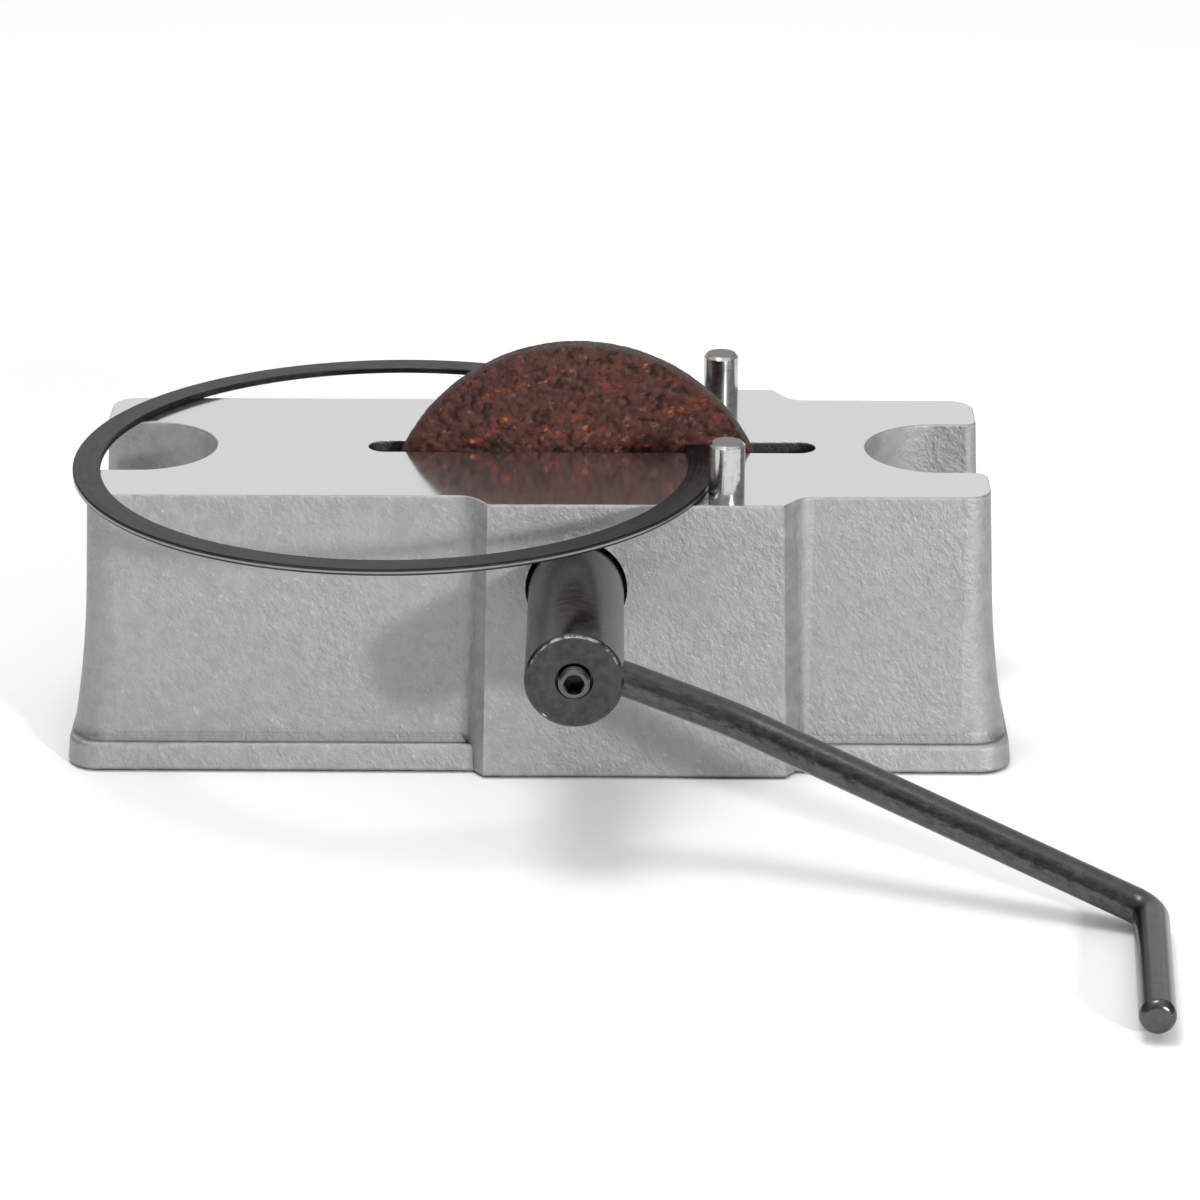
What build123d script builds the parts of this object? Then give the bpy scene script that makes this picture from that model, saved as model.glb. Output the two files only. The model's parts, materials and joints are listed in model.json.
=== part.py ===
"""Hand-cranked piston-ring end filer: cast base, crank spindle, abrasive wheel, guide pins and a ring.

Millimetres. The origin is at the middle of the base's underside, on the bench. X runs along the wheel
slot, with the crank arm towards +X. The crank comes out of the front, towards -Y. Z is up.
"""

from build123d import *
import math
import os

# ---- Driving dimensions of the base casting ----
TABLE_HEIGHT = 50.8
TABLE_LENGTH = 158.8
TABLE_FRONT_Y = -26.8
TABLE_REAR_Y = 27.4
TABLE_THICKNESS = 7.0
WALL_DRAFT = 2.4
CORNER_RADIUS = 4.5
TABLE_EDGE_RADIUS = 0.4

FOOT_LENGTH = 168.6
FOOT_FRONT_Y = -31.1
FOOT_REAR_Y = 31.7
FOOT_HEIGHT = 5.3
FOOT_DRAFT = 6.0
FOOT_CORNER_RADIUS = 6.0
FOOT_EDGE_RADIUS = 1.0
FOOT_RIM_RADIUS = 0.9

# The ends of the walls flare out to the foot, and their long sides end in a small cove.
FLARE_BOTTOM = 5.1
FLARE_TOP = 31.0
FLARE_REACH = 2.0
FLARE_POWER = 1.8
COVE_RADIUS = 1.6
COVE_REACH = 0.9
FLARE_INSET = 0.12
FLARE_HEIGHTS = (5.1, 5.3, 5.6, 6.0, 6.5, 7.2, 8.4, 10.0, 12.0, 14.5, 17.5, 21.5, 26.0, 31.0)

# Each bearing pad stands proud of a long wall, with sloped sides.
PAD_MIDDLE_X = 17.0
PAD_FACE_LENGTH = 51.6
PAD_ROOT_LENGTH = 58.4
PAD_FRONT_Y = -31.4
PAD_REAR_Y = 33.6
PAD_ROOT_RADIUS = 4.0
PAD_CREST_RADIUS = 3.0

# Bolt wells, half round and open through the end walls.
WELL_MIDDLE_X = 71.6
WELL_RADIUS = 13.2
WELL_FLOOR_HEIGHT = 8.0
WELL_WALL = 5.0
WELL_LIP_RADIUS = 2.2
BOLT_HOLE_RADIUS = 4.35

# Hollow underside.
CAVITY_HALF_LENGTH = 62.0
CAVITY_FRONT_Y = -20.6
CAVITY_REAR_Y = 21.2
CAVITY_CORNER_RADIUS = 1.8
CAVITY_DRAFT = 1.5

# Wheel slot through the table, with a relief below it for the wheel's flanges.
SLOT_MIDDLE_X = 9.2
SLOT_LENGTH = 80.6
SLOT_WIDTH = 6.35
RELIEF_RADIUS = 11.6
RELIEF_FRONT_Y = -9.5
RELIEF_REAR_Y = 14.5

# ---- Spindle axis, along Y ----
AXIS_X = 6.65
AXIS_Z = 35.5
RUNNING_CLEARANCE = 0.025

HEAD_RADIUS = 8.35
HEAD_FRONT_Y = -75.6
HEAD_SHOULDER_Y = -27.55
HEAD_BORE_RADIUS = 8.95
HEAD_BORE_FLOOR_Y = -26.0
HEAD_EDGE_CHAMFER = 0.5
FRONT_JOURNAL_RADIUS = 6.35
STEM_RADIUS = 4.7625
REAR_JOURNAL_RADIUS = 4.0
REAR_JOURNAL_Y = 14.0
SPINDLE_REAR_Y = 38.2
SPINDLE_END_CHAMFER = 0.6

BUSHING_CHAMFER = 0.4
FRONT_BUSHING_OUTER_RADIUS = 8.0
FRONT_BOSS_RADIUS = 13.0
FRONT_BOSS_Y = -13.0
REAR_BUSHING_OUTER_RADIUS = 6.0
REAR_BOSS_RADIUS = 10.5
REAR_BOSS_Y = 16.0
SPOTFACE_RADIUS = 11.0
SPOTFACE_Y = 33.4

WASHER_GAP = 0.05
FRONT_WASHER_RADIUS = 8.5
REAR_WASHER_RADIUS = 7.6
REAR_WASHER_THICKNESS = 1.0
CLIP_RADIUS = 6.4
CLIP_GROOVE_RADIUS = 3.2
CLIP_THICKNESS = 1.0
CLIP_OPENING = 4.6

# ---- Abrasive wheel and what clamps it ----
WHEEL_RADIUS = 34.925
WHEEL_THICKNESS = 3.2
WHEEL_BORE_RADIUS = 6.35
WHEEL_EDGE_RADIUS = 0.35
BLOTTER_THICKNESS = 0.5
BLOTTER_RADIUS = 10.2
FLANGE_THICKNESS = 3.0
FLANGE_RADIUS = 10.6
FLANGE_CHAMFER = 0.5
FLANGE_RELIEF_RADIUS = 7.4
FLANGE_RELIEF_DEPTH = 0.5
STEM_CLEARANCE = 0.04
LOCK_WASHER_RADIUS = 8.0
LOCK_WASHER_THICKNESS = 2.0
LOCK_WASHER_SPLIT = 0.8
NUT_ACROSS_FLATS = 14.3
NUT_THICKNESS = 5.6
NUT_CHAMFER = 0.7

# ---- Guide pins ----
PIN_RADIUS = 3.175
PIN_X = 32.9
PIN_FRONT_Y = -25.3
PIN_REAR_Y = 25.3
PIN_STAND = 9.7
PIN_LENGTH = 25.4
PIN_CHAMFER = 0.55
PIN_BOSS_RADIUS = 5.6

# ---- Crank arm: one bent rod in a plane through the spindle's axis ----
ROD_RADIUS = 3.0
ROD_CLEARANCE = 0.025
CRANK_FALL = 18.75
CRANK_PLANE_Y = -67.2
CRANK_INNER_END = -5.2
# Corners of the rod's centre line: reach from the spindle's axis, and distance out from the cross hole.
CRANK_CORNERS = ((9.6, 0.0), (27.5, 2.6), (100.4, 29.0))
CRANK_HANDLE_END = (96.7, 71.6)
CRANK_BEND_RADII = (32.0, 45.0, 4.4)
HANDLE_END_RADIUS = 1.5

SET_SCREW_RADIUS = 2.65
SET_SCREW_LENGTH = 7.0
SET_SCREW_CHAMFER = 0.4
SET_SCREW_SOCKET = 3.2
SET_SCREW_SOCKET_DEPTH = 3.0
SET_SCREW_SOCKET_MOUTH = 1.78
SET_SCREW_THREAD_PITCH = 0.8
SET_SCREW_THREAD_DEPTH = 0.3
SET_SCREW_BORE_RADIUS = 2.67
SET_SCREW_RECESS_RADIUS = 3.2
SET_SCREW_RECESS_DEPTH = 2.4

# ---- Piston ring, lying on the table with its gap astride the wheel ----
RING_RADIUS = 57.15
RING_WIDTH = 4.8
RING_THICKNESS = 1.2
RING_MIDDLE = (-25.8, -9.9)
RING_NEAR_END_Y = -2.05
RING_FAR_END_Y = 7.4
RING_EDGE_RADIUS = 0.2

os.makedirs("parts", exist_ok=True)


def across_spindle(y):
    """Plane square to the spindle at y, centred on its axis, with local X along the base and normal +Y."""
    return Plane(origin=(AXIS_X, y, AXIS_Z), x_dir=(-1, 0, 0), z_dir=(0, 1, 0))


def pad_corners(root_y, face_y):
    """Plan corners of a bearing pad, from inside the wall at root_y out to its face at face_y."""
    inside_y = root_y - math.copysign(4.0, face_y)
    half_root = PAD_ROOT_LENGTH / 2
    half_face = PAD_FACE_LENGTH / 2
    return [
        (PAD_MIDDLE_X - half_root, inside_y),
        (PAD_MIDDLE_X - half_root, root_y),
        (PAD_MIDDLE_X - half_face, face_y),
        (PAD_MIDDLE_X + half_face, face_y),
        (PAD_MIDDLE_X + half_root, root_y),
        (PAD_MIDDLE_X + half_root, inside_y),
    ]


def end_flare(height):
    """How far the base's ends stand out from the drafted end walls."""
    return FLARE_REACH * ((FLARE_TOP - height) / (FLARE_TOP - FLARE_BOTTOM)) ** FLARE_POWER


def side_cove(height):
    """How far the cove stands out from a long wall. Above the cove the section hides inside the wall."""
    sine = (height - FLARE_BOTTOM) / COVE_RADIUS
    if sine > 0.9:
        return -FLARE_INSET
    return COVE_REACH * (1 - math.sqrt(sine * (2 - sine)))


def crank_plane():
    """Plane that holds the crank's centre line: local X is the reach, local Y points out of the front."""
    fall = math.radians(CRANK_FALL)
    reach = Vector(math.cos(fall), 0, -math.sin(fall))
    outwards = Vector(0, -1, 0)
    return Plane(origin=(AXIS_X, CRANK_PLANE_Y, AXIS_Z), x_dir=reach, z_dir=reach.cross(outwards))


TABLE_MIDDLE_Y = (TABLE_FRONT_Y + TABLE_REAR_Y) / 2
TABLE_DEPTH = TABLE_REAR_Y - TABLE_FRONT_Y

# ---- base_casting: foot, drafted walls with bearing pads, bolt wells and a hollow underside ----
with BuildPart() as base_casting:
    with BuildSketch(Plane.XY):
        with Locations((0, (FOOT_FRONT_Y + FOOT_REAR_Y) / 2)):
            RectangleRounded(FOOT_LENGTH, FOOT_REAR_Y - FOOT_FRONT_Y, FOOT_CORNER_RADIUS)
    extrude(amount=FOOT_HEIGHT, taper=FOOT_DRAFT)
    fillet(base_casting.faces().sort_by(Axis.Z)[-1].edges(), FOOT_RIM_RADIUS)

    # Walls and pads, drafted all the way down from the table's outline.
    with BuildSketch(Plane.XY.offset(TABLE_HEIGHT)) as table_outline:
        with Locations((0, TABLE_MIDDLE_Y)):
            RectangleRounded(TABLE_LENGTH, TABLE_DEPTH, CORNER_RADIUS)
        with BuildLine():
            Polyline(*pad_corners(TABLE_FRONT_Y, PAD_FRONT_Y), close=True)
        make_face()
        with BuildLine():
            Polyline(*pad_corners(TABLE_REAR_Y, PAD_REAR_Y), close=True)
        make_face()
        outline_points = table_outline.vertices()
        pad_crests = outline_points.filter_by(
            lambda v: v.Y < TABLE_FRONT_Y - 1 or v.Y > TABLE_REAR_Y + 1
        )
        pad_roots = outline_points.filter_by(
            lambda v: abs(v.X) < TABLE_LENGTH / 2 - 2 * CORNER_RADIUS
            and TABLE_FRONT_Y - 1 < v.Y < TABLE_REAR_Y + 1
        )
        fillet(pad_roots, PAD_ROOT_RADIUS)
        fillet(pad_crests, PAD_CREST_RADIUS)
    extrude(amount=-TABLE_HEIGHT, taper=-WALL_DRAFT)

    # Flared ends of the walls and the cove along them, down to the foot.
    for height in FLARE_HEIGHTS:
        spread = math.tan(math.radians(WALL_DRAFT)) * (TABLE_HEIGHT - height)
        flared_length = TABLE_LENGTH + 2 * (spread + end_flare(height))
        coved_depth = TABLE_DEPTH + 2 * (spread + side_cove(height))
        with BuildSketch(Plane.XY.offset(height)):
            with Locations((0, TABLE_MIDDLE_Y)):
                RectangleRounded(flared_length, coved_depth, CORNER_RADIUS + spread)
    loft(ruled=True)

    # Hollow under the table, which keeps clear of the walls round the bolt wells.
    with BuildSketch(Plane.XY) as cavity_outline:
        with Locations((0, (CAVITY_FRONT_Y + CAVITY_REAR_Y) / 2)):
            Rectangle(2 * CAVITY_HALF_LENGTH, CAVITY_REAR_Y - CAVITY_FRONT_Y)
        with Locations((-WELL_MIDDLE_X, 0), (WELL_MIDDLE_X, 0)):
            Circle(WELL_RADIUS + WELL_WALL, mode=Mode.SUBTRACT)
        fillet(cavity_outline.vertices(), CAVITY_CORNER_RADIUS)
    extrude(amount=TABLE_HEIGHT - TABLE_THICKNESS, taper=CAVITY_DRAFT, mode=Mode.SUBTRACT)

    # Bosses inside the walls: the two bearings, each webbed up to the table, and the two guide pins.
    for boss_radius, wall_y, boss_y in (
        (FRONT_BOSS_RADIUS, CAVITY_FRONT_Y, FRONT_BOSS_Y),
        (REAR_BOSS_RADIUS, CAVITY_REAR_Y, REAR_BOSS_Y),
    ):
        rise = TABLE_HEIGHT - TABLE_THICKNESS / 2 - AXIS_Z
        with BuildSketch(across_spindle(wall_y)) as bearing_boss:
            Circle(boss_radius)
            with Locations((0, rise / 2)):
                Rectangle(2 * boss_radius, rise)
            with Locations((0, rise + boss_radius)):
                Rectangle(2 * boss_radius, 2 * boss_radius, mode=Mode.SUBTRACT)
        extrude(amount=boss_y - wall_y)
    with BuildSketch(Plane.XY.offset(TABLE_HEIGHT - TABLE_THICKNESS / 2)):
        with Locations((PIN_X, PIN_FRONT_Y), (PIN_X, PIN_REAR_Y)):
            Circle(PIN_BOSS_RADIUS)
    extrude(amount=TABLE_THICKNESS / 2 - PIN_LENGTH + PIN_STAND - 2)

    # Bolt wells, cut down to their floors and out through the ends, then the bolt holes.
    with BuildSketch(Plane.XY.offset(WELL_FLOOR_HEIGHT)):
        for side in (-1, 1):
            with Locations((side * WELL_MIDDLE_X, 0)):
                Circle(WELL_RADIUS)
            with Locations((side * (WELL_MIDDLE_X + FOOT_LENGTH / 4), 0)):
                Rectangle(FOOT_LENGTH / 2, 2 * WELL_RADIUS)
    extrude(amount=TABLE_HEIGHT, mode=Mode.SUBTRACT)
    with Locations((-WELL_MIDDLE_X, 0, WELL_FLOOR_HEIGHT), (WELL_MIDDLE_X, 0, WELL_FLOOR_HEIGHT)):
        Hole(BOLT_HOLE_RADIUS, depth=WELL_FLOOR_HEIGHT)

    # Wheel slot, and the relief for the flanges under it.
    with BuildSketch(Plane.XY.offset(TABLE_HEIGHT)):
        with Locations((SLOT_MIDDLE_X, 0)):
            SlotOverall(SLOT_LENGTH, SLOT_WIDTH)
    extrude(amount=-2 * TABLE_THICKNESS, mode=Mode.SUBTRACT)
    with BuildSketch(across_spindle(RELIEF_FRONT_Y)):
        Circle(RELIEF_RADIUS)
    extrude(amount=RELIEF_REAR_Y - RELIEF_FRONT_Y, mode=Mode.SUBTRACT)

    # Bores on the spindle's axis, and the spotface behind the rear one.
    for bore_radius, from_y, to_y in (
        (HEAD_BORE_RADIUS, HEAD_BORE_FLOOR_Y, 2 * PAD_FRONT_Y),
        (FRONT_BUSHING_OUTER_RADIUS, HEAD_BORE_FLOOR_Y, RELIEF_FRONT_Y),
        (REAR_BUSHING_OUTER_RADIUS, RELIEF_REAR_Y, 2 * PAD_REAR_Y),
        (SPOTFACE_RADIUS, SPOTFACE_Y, 2 * PAD_REAR_Y),
    ):
        with BuildSketch(across_spindle(from_y)):
            Circle(bore_radius)
        extrude(amount=to_y - from_y, mode=Mode.SUBTRACT)

    # Blind holes for the guide pins.
    with Locations((PIN_X, PIN_FRONT_Y, TABLE_HEIGHT), (PIN_X, PIN_REAR_Y, TABLE_HEIGHT)):
        Hole(PIN_RADIUS, depth=PIN_LENGTH - PIN_STAND)

    # Rounded edges: the mouths of the wells, the underside and the table.
    mouth_edges = base_casting.edges().filter_by(
        lambda e: abs(e.center().X) > TABLE_LENGTH / 2 and abs(abs(e.center().Y) - WELL_RADIUS) < 0.05
    )
    fillet(mouth_edges, WELL_LIP_RADIUS)
    underside = base_casting.faces().filter_by(Axis.Z).sort_by(Axis.Z)[0]
    fillet(underside.outer_wire().edges(), FOOT_EDGE_RADIUS)
    table_face = base_casting.faces().filter_by(Axis.Z).sort_by(Axis.Z)[-1]
    fillet(table_face.outer_wire().edges(), TABLE_EDGE_RADIUS)
base_casting.part.label = "base_casting"
export_step(base_casting.part, "parts/base_casting.step")


def sleeve(outer_radius, inner_radius, from_y, to_y, chamfer_size):
    """Plain sleeve on the spindle's axis, with its outer edges chamfered."""
    with BuildPart() as tube:
        with BuildSketch(across_spindle(from_y)):
            Circle(outer_radius)
            Circle(inner_radius, mode=Mode.SUBTRACT)
        extrude(amount=to_y - from_y)
        outer_edges = tube.edges().filter_by(GeomType.CIRCLE).sort_by(SortBy.RADIUS)[-2:]
        chamfer(outer_edges, chamfer_size)
    return tube


# ---- Bearings: bronze bushings pressed into the bosses, and the washers that take end thrust ----
front_bushing = sleeve(
    FRONT_BUSHING_OUTER_RADIUS,
    FRONT_JOURNAL_RADIUS + RUNNING_CLEARANCE,
    HEAD_BORE_FLOOR_Y,
    FRONT_BOSS_Y,
    BUSHING_CHAMFER,
)
front_bushing.part.label = "front_bushing"
export_step(front_bushing.part, "parts/front_bushing.step")

rear_bushing = sleeve(
    REAR_BUSHING_OUTER_RADIUS,
    REAR_JOURNAL_RADIUS + RUNNING_CLEARANCE,
    REAR_BOSS_Y,
    SPOTFACE_Y,
    BUSHING_CHAMFER,
)
rear_bushing.part.label = "rear_bushing"
export_step(rear_bushing.part, "parts/rear_bushing.step")

thrust_washer_front = sleeve(
    FRONT_WASHER_RADIUS,
    FRONT_JOURNAL_RADIUS + 2 * STEM_CLEARANCE,
    HEAD_SHOULDER_Y + WASHER_GAP,
    HEAD_BORE_FLOOR_Y,
    BUSHING_CHAMFER / 2,
)
thrust_washer_front.part.label = "thrust_washer_front"
export_step(thrust_washer_front.part, "parts/thrust_washer_front.step")

REAR_WASHER_Y = SPOTFACE_Y + WASHER_GAP
CLIP_Y = REAR_WASHER_Y + REAR_WASHER_THICKNESS
thrust_washer_rear = sleeve(
    REAR_WASHER_RADIUS,
    REAR_JOURNAL_RADIUS + STEM_CLEARANCE,
    REAR_WASHER_Y,
    CLIP_Y,
    BUSHING_CHAMFER / 2,
)
thrust_washer_rear.part.label = "thrust_washer_rear"
export_step(thrust_washer_rear.part, "parts/thrust_washer_rear.step")

# Spring clip in the groove at the spindle's rear end, open towards the bench.
with BuildPart() as retaining_clip:
    with BuildSketch(across_spindle(CLIP_Y)) as clip_outline:
        Circle(CLIP_RADIUS)
        Circle(CLIP_GROOVE_RADIUS, mode=Mode.SUBTRACT)
        with Locations((0, -CLIP_RADIUS)):
            Rectangle(CLIP_OPENING, 2 * CLIP_RADIUS, mode=Mode.SUBTRACT)
        for side in (-1, 1):
            with Locations((side * CLIP_RADIUS, 0)):
                Circle(CLIP_GROOVE_RADIUS / 2, mode=Mode.SUBTRACT)
    extrude(amount=CLIP_THICKNESS)
retaining_clip.part.label = "retaining_clip"
export_step(retaining_clip.part, "parts/retaining_clip.step")

# ---- Wheel stack, from the spindle's shoulder back to the nut ----
WHEEL_FRONT_Y = -WHEEL_THICKNESS / 2
WHEEL_REAR_Y = WHEEL_THICKNESS / 2
FRONT_FLANGE_Y = WHEEL_FRONT_Y - BLOTTER_THICKNESS
STEM_SHOULDER_Y = FRONT_FLANGE_Y - FLANGE_THICKNESS
REAR_FLANGE_Y = WHEEL_REAR_Y + BLOTTER_THICKNESS
LOCK_WASHER_Y = REAR_FLANGE_Y + FLANGE_THICKNESS
NUT_Y = LOCK_WASHER_Y + LOCK_WASHER_THICKNESS

with BuildPart() as grinding_wheel:
    with BuildSketch(across_spindle(WHEEL_FRONT_Y)):
        Circle(WHEEL_RADIUS)
        Circle(WHEEL_BORE_RADIUS, mode=Mode.SUBTRACT)
    extrude(amount=WHEEL_THICKNESS)
    rim_edges = grinding_wheel.edges().filter_by(GeomType.CIRCLE).sort_by(SortBy.RADIUS)[-2:]
    fillet(rim_edges, WHEEL_EDGE_RADIUS)
grinding_wheel.part.label = "grinding_wheel"
export_step(grinding_wheel.part, "parts/grinding_wheel.step")

with BuildPart() as wheel_arbor_bush:
    with BuildSketch(across_spindle(WHEEL_FRONT_Y)):
        Circle(WHEEL_BORE_RADIUS)
        Circle(STEM_RADIUS + STEM_CLEARANCE, mode=Mode.SUBTRACT)
    extrude(amount=WHEEL_THICKNESS)
wheel_arbor_bush.part.label = "wheel_arbor_bush"
export_step(wheel_arbor_bush.part, "parts/wheel_arbor_bush.step")


def blotter(from_y):
    """Paper disc between the wheel and a flange."""
    with BuildPart() as disc:
        with BuildSketch(across_spindle(from_y)):
            Circle(BLOTTER_RADIUS)
            Circle(STEM_RADIUS + 2 * STEM_CLEARANCE, mode=Mode.SUBTRACT)
        extrude(amount=BLOTTER_THICKNESS)
    return disc


wheel_blotter_front = blotter(FRONT_FLANGE_Y)
wheel_blotter_front.part.label = "wheel_blotter_front"
export_step(wheel_blotter_front.part, "parts/wheel_blotter_front.step")

wheel_blotter_rear = blotter(WHEEL_REAR_Y)
wheel_blotter_rear.part.label = "wheel_blotter_rear"
export_step(wheel_blotter_rear.part, "parts/wheel_blotter_rear.step")


def clamp_flange(outer_y, wheel_side_y):
    """Flange that bears on the wheel near its rim, with a shallow relief round the bore."""
    with BuildPart() as flange:
        with BuildSketch(across_spindle(outer_y)):
            Circle(FLANGE_RADIUS)
            Circle(STEM_RADIUS + STEM_CLEARANCE, mode=Mode.SUBTRACT)
        extrude(amount=wheel_side_y - outer_y)
        outer_face = flange.faces().filter_by(Axis.Y).sort_by(lambda f: abs(f.center().Y - outer_y))[0]
        chamfer(outer_face.outer_wire().edges(), FLANGE_CHAMFER)
        with BuildSketch(across_spindle(wheel_side_y)):
            Circle(FLANGE_RELIEF_RADIUS)
        extrude(amount=math.copysign(FLANGE_RELIEF_DEPTH, outer_y - wheel_side_y), mode=Mode.SUBTRACT)
    return flange


wheel_flange_front = clamp_flange(STEM_SHOULDER_Y, FRONT_FLANGE_Y)
wheel_flange_front.part.label = "wheel_flange_front"
export_step(wheel_flange_front.part, "parts/wheel_flange_front.step")

wheel_flange_rear = clamp_flange(LOCK_WASHER_Y, REAR_FLANGE_Y)
wheel_flange_rear.part.label = "wheel_flange_rear"
export_step(wheel_flange_rear.part, "parts/wheel_flange_rear.step")

with BuildPart() as wheel_lock_washer:
    with BuildSketch(across_spindle(LOCK_WASHER_Y)):
        Circle(LOCK_WASHER_RADIUS)
        Circle(STEM_RADIUS + 2 * STEM_CLEARANCE, mode=Mode.SUBTRACT)
        with Locations((LOCK_WASHER_RADIUS, 0)):
            Rectangle(2 * LOCK_WASHER_RADIUS, LOCK_WASHER_SPLIT, mode=Mode.SUBTRACT)
    extrude(amount=LOCK_WASHER_THICKNESS)
wheel_lock_washer.part.label = "wheel_lock_washer"
export_step(wheel_lock_washer.part, "parts/wheel_lock_washer.step")

# Hexagon nut: a flat-sided prism, inside a turned blank whose corners are chamfered.
NUT_CORNER_RADIUS = NUT_ACROSS_FLATS / math.sqrt(3)
NUT_CHAMFER_REACH = NUT_CHAMFER * math.sqrt(3)
with BuildPart() as wheel_nut:
    with BuildSketch(across_spindle(NUT_Y)):
        RegularPolygon(NUT_ACROSS_FLATS / 2, 6, major_radius=False)
    extrude(amount=NUT_THICKNESS)
    with BuildSketch(Plane.XY.offset(AXIS_Z)):
        with BuildLine():
            Polyline(
                (AXIS_X, NUT_Y),
                (AXIS_X + NUT_CORNER_RADIUS - NUT_CHAMFER_REACH, NUT_Y),
                (AXIS_X + NUT_CORNER_RADIUS, NUT_Y + NUT_CHAMFER),
                (AXIS_X + NUT_CORNER_RADIUS, NUT_Y + NUT_THICKNESS - NUT_CHAMFER),
                (AXIS_X + NUT_CORNER_RADIUS - NUT_CHAMFER_REACH, NUT_Y + NUT_THICKNESS),
                (AXIS_X, NUT_Y + NUT_THICKNESS),
                close=True,
            )
        make_face()
    revolve(axis=Axis((AXIS_X, 0, AXIS_Z), (0, 1, 0)), mode=Mode.INTERSECT)
    with BuildSketch(across_spindle(NUT_Y)):
        Circle(STEM_RADIUS)
    extrude(amount=NUT_THICKNESS, mode=Mode.SUBTRACT)
wheel_nut.part.label = "wheel_nut"
export_step(wheel_nut.part, "parts/wheel_nut.step")

# ---- Spindle: head, front journal, threaded stem and rear journal, with its cross hole ----
with BuildPart() as spindle:
    for section_radius, from_y, to_y in (
        (HEAD_RADIUS, HEAD_FRONT_Y, HEAD_SHOULDER_Y),
        (FRONT_JOURNAL_RADIUS, HEAD_SHOULDER_Y, STEM_SHOULDER_Y),
        (STEM_RADIUS, STEM_SHOULDER_Y, REAR_JOURNAL_Y),
        (REAR_JOURNAL_RADIUS, REAR_JOURNAL_Y, SPINDLE_REAR_Y),
    ):
        with BuildSketch(across_spindle(from_y)):
            Circle(section_radius)
        extrude(amount=to_y - from_y)
    end_faces = spindle.faces().filter_by(Axis.Y).sort_by(Axis.Y)
    chamfer(end_faces[0].edges(), HEAD_EDGE_CHAMFER)
    chamfer(end_faces[-1].edges(), SPINDLE_END_CHAMFER)
    with BuildSketch(across_spindle(CLIP_Y)):
        Circle(2 * REAR_JOURNAL_RADIUS)
        Circle(CLIP_GROOVE_RADIUS, mode=Mode.SUBTRACT)
    extrude(amount=CLIP_THICKNESS, mode=Mode.SUBTRACT)
    # Cross hole for the crank, blind past the axis, and the recessed axial hole for its set screw.
    rod_start = crank_plane().from_local_coords((CRANK_INNER_END, 0, 0))
    rod_axis = Plane(origin=rod_start, z_dir=crank_plane().x_dir)
    with BuildSketch(rod_axis):
        Circle(ROD_RADIUS + ROD_CLEARANCE)
    extrude(amount=2 * HEAD_RADIUS, mode=Mode.SUBTRACT)
    with BuildSketch(across_spindle(HEAD_FRONT_Y)):
        Circle(SET_SCREW_BORE_RADIUS)
    extrude(amount=CRANK_PLANE_Y - HEAD_FRONT_Y, mode=Mode.SUBTRACT)
    with BuildSketch(across_spindle(HEAD_FRONT_Y)):
        Circle(SET_SCREW_RECESS_RADIUS)
    extrude(amount=SET_SCREW_RECESS_DEPTH, mode=Mode.SUBTRACT)
spindle.part.label = "spindle"
export_step(spindle.part, "parts/spindle.step")

# ---- Crank arm: straight through the cross hole, two gentle bends outwards, then the handle ----
with BuildPart() as crank_arm:
    corners = [(CRANK_INNER_END, 0), *CRANK_CORNERS, CRANK_HANDLE_END]
    with BuildLine(crank_plane()) as crank_line:
        FilletPolyline(*corners, radius=list(CRANK_BEND_RADII))
    with BuildSketch(rod_axis):
        Circle(ROD_RADIUS)
    sweep(path=crank_line.line)
    handle_face = crank_arm.faces().filter_by(GeomType.PLANE).sort_by(Axis.Y)[0]
    fillet(handle_face.edges(), HANDLE_END_RADIUS)
crank_arm.part.label = "crank_arm"
export_step(crank_arm.part, "parts/crank_arm.step")

SET_SCREW_REAR_Y = CRANK_PLANE_Y - ROD_RADIUS - ROD_CLEARANCE
SET_SCREW_FRONT_Y = SET_SCREW_REAR_Y - SET_SCREW_LENGTH


def thread_outline(length, crest, root, pitch):
    """Half-profile of ring threads from 0 to length along the axis, as (radius, distance) points."""
    outline = [(0, 0), (root, 0)]
    turns = int((length - pitch / 2) / pitch)
    for turn in range(turns):
        outline.append((crest, (turn + 0.5) * pitch - pitch / 8))
        outline.append((crest, (turn + 0.5) * pitch + pitch / 8))
        outline.append((root, (turn + 1) * pitch))
    return [*outline, (root, length), (0, length)]


with BuildPart() as crank_set_screw:
    thread_root = SET_SCREW_RADIUS - SET_SCREW_THREAD_DEPTH
    with BuildSketch(Plane.XY.offset(AXIS_Z)):
        with BuildLine():
            Polyline(
                *[
                    (AXIS_X + radius, SET_SCREW_FRONT_Y + distance)
                    for radius, distance in thread_outline(
                        SET_SCREW_LENGTH, SET_SCREW_RADIUS, thread_root, SET_SCREW_THREAD_PITCH
                    )
                ],
                close=True,
            )
        make_face()
    revolve(axis=Axis((AXIS_X, 0, AXIS_Z), (0, 1, 0)))
    with BuildSketch(across_spindle(SET_SCREW_FRONT_Y)):
        RegularPolygon(SET_SCREW_SOCKET / 2, 6, major_radius=False)
    extrude(amount=SET_SCREW_SOCKET_DEPTH, mode=Mode.SUBTRACT)
    with BuildSketch(across_spindle(SET_SCREW_FRONT_Y)):
        Circle(SET_SCREW_SOCKET_MOUTH)
    extrude(amount=SET_SCREW_CHAMFER, mode=Mode.SUBTRACT)
crank_set_screw.part.label = "crank_set_screw"
export_step(crank_set_screw.part, "parts/crank_set_screw.step")


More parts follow.
